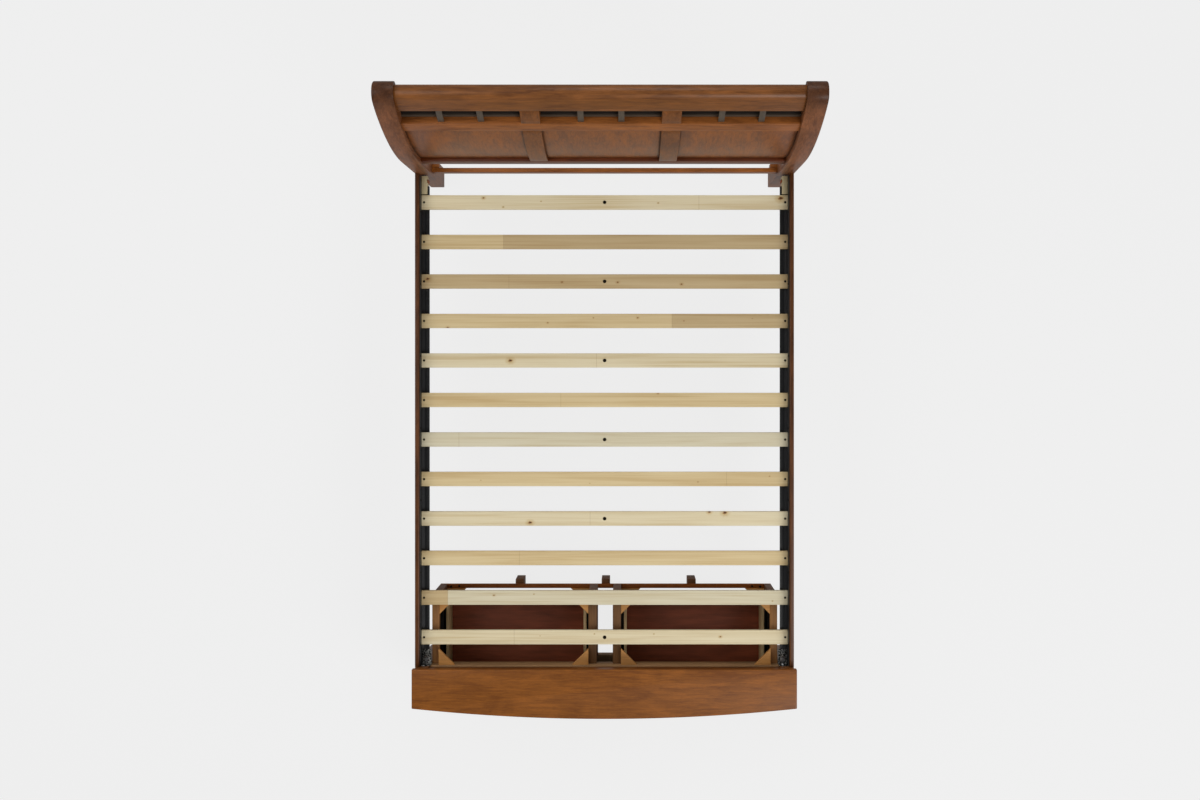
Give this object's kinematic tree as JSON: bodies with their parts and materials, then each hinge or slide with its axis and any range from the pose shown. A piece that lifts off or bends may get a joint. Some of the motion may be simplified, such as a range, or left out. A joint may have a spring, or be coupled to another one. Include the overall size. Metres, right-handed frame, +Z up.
{
  "type": "storage bed",
  "caption": "Wooden sleigh bed with a curved panelled headboard, a slatted deck on steel ledges and drawers in a bow-fronted footboard.",
  "frame": {"origin": "on the floor, at the middle of the bed's overall length and width", "axes": "+X to the right seen from the foot, +Y towards the headboard, +Z up"},
  "size_m": [1.61, 2.4683, 1.48],
  "materials": {
    "stained_wood": "stained hardwood and veneer under satin lacquer",
    "slot_back": "black-stained board",
    "dark_steel": "dark powder-coated steel",
    "black_steel": "black powder-coated steel",
    "raw_pine": "planed raw pine, finger-jointed",
    "dark_screws": "black-oxide steel",
    "copper_bolts": "copper-washed steel",
    "zinc": "bright zinc-plated steel",
    "unit_wood": "rubberwood, toned but not lacquered",
    "slide_steel": "black-oxide rolled steel",
    "drawer_wood": "clear-coated poplar",
    "drawer_bottom": "reddish-brown veneered plywood",
    "knob_bronze": "dark bronzed brass"
  },
  "bodies": {
    "bed_frame": {"bracket_bolts": "zinc", "case_rear_rails": "unit_wood", "centre_bolts": "dark_screws", "cleat_bolts": "copper_bolts", "corner_blocks": "unit_wood", "crest_rail": "stained_wood", "footboard_apron": "stained_wood", "footboard_back_rail": "stained_wood", "footboard_bottom_rail": "stained_wood", "footboard_centre_stile": "stained_wood", "footboard_end_left": "stained_wood", "footboard_end_right": "stained_wood", "footboard_top": "stained_wood", "head_cleats": "raw_pine", "headboard_bottom_rail": "stained_wood", "headboard_post_left": "stained_wood", "headboard_post_right": "stained_wood", "headboard_stiles": "stained_wood", "headboard_stretcher": "stained_wood", "mid_rail": "stained_wood", "panel_centre": "stained_wood", "panel_left": "stained_wood", "panel_right": "stained_wood", "rail_brackets": "zinc", "side_rail_left": "stained_wood", "side_rail_right": "stained_wood", "slat_01": "raw_pine", "slat_02": "raw_pine", "slat_03": "raw_pine", "slat_04": "raw_pine", "slat_05": "raw_pine", "slat_06": "raw_pine", "slat_07": "raw_pine", "slat_08": "raw_pine", "slat_09": "raw_pine", "slat_10": "raw_pine", "slat_11": "raw_pine", "slat_12": "raw_pine", "slat_ledge_left": "black_steel", "slat_ledge_right": "black_steel", "slide_boards": "unit_wood", "slide_outer_members": "slide_steel", "slot_backs": "slot_back", "slot_bars": "dark_steel", "storage_base_frame": "unit_wood", "storage_top_frame": "unit_wood", "storage_uprights": "unit_wood", "wood_screws": "dark_screws"},
    "drawer_left": {"drawer_box_left": "drawer_wood", "drawer_bottom_left": "drawer_bottom", "drawer_front_left": "stained_wood", "drawer_knobs_left": "knob_bronze", "slide_inner_left": "slide_steel"},
    "drawer_right": {"drawer_box_right": "drawer_wood", "drawer_bottom_right": "drawer_bottom", "drawer_front_right": "stained_wood", "drawer_knobs_right": "knob_bronze", "slide_inner_right": "slide_steel"},
    "slide_middle_left": {"slide_middle_left": "slide_steel"},
    "slide_middle_right": {"slide_middle_right": "slide_steel"}
  },
  "joints": [
    {"name": "drawer_left_slide", "type": "slide", "parent": "bed_frame", "child": "drawer_left", "axis": [0, -1, 0], "range_m": [0, 0.34]},
    {"name": "slide_middle_left_travel", "type": "slide", "parent": "bed_frame", "child": "slide_middle_left", "axis": [0, -1, 0], "range_m": [0, 0.17]},
    {"name": "drawer_right_slide", "type": "slide", "parent": "bed_frame", "child": "drawer_right", "axis": [0, -1, 0], "range_m": [0, 0.34]},
    {"name": "slide_middle_right_travel", "type": "slide", "parent": "bed_frame", "child": "slide_middle_right", "axis": [0, -1, 0], "range_m": [0, 0.17]}
  ],
  "couplings": [
    {"joint": "slide_middle_left_travel", "follows": "drawer_left_slide", "ratio": 0.5},
    {"joint": "slide_middle_right_travel", "follows": "drawer_right_slide", "ratio": 0.5}
  ]
}
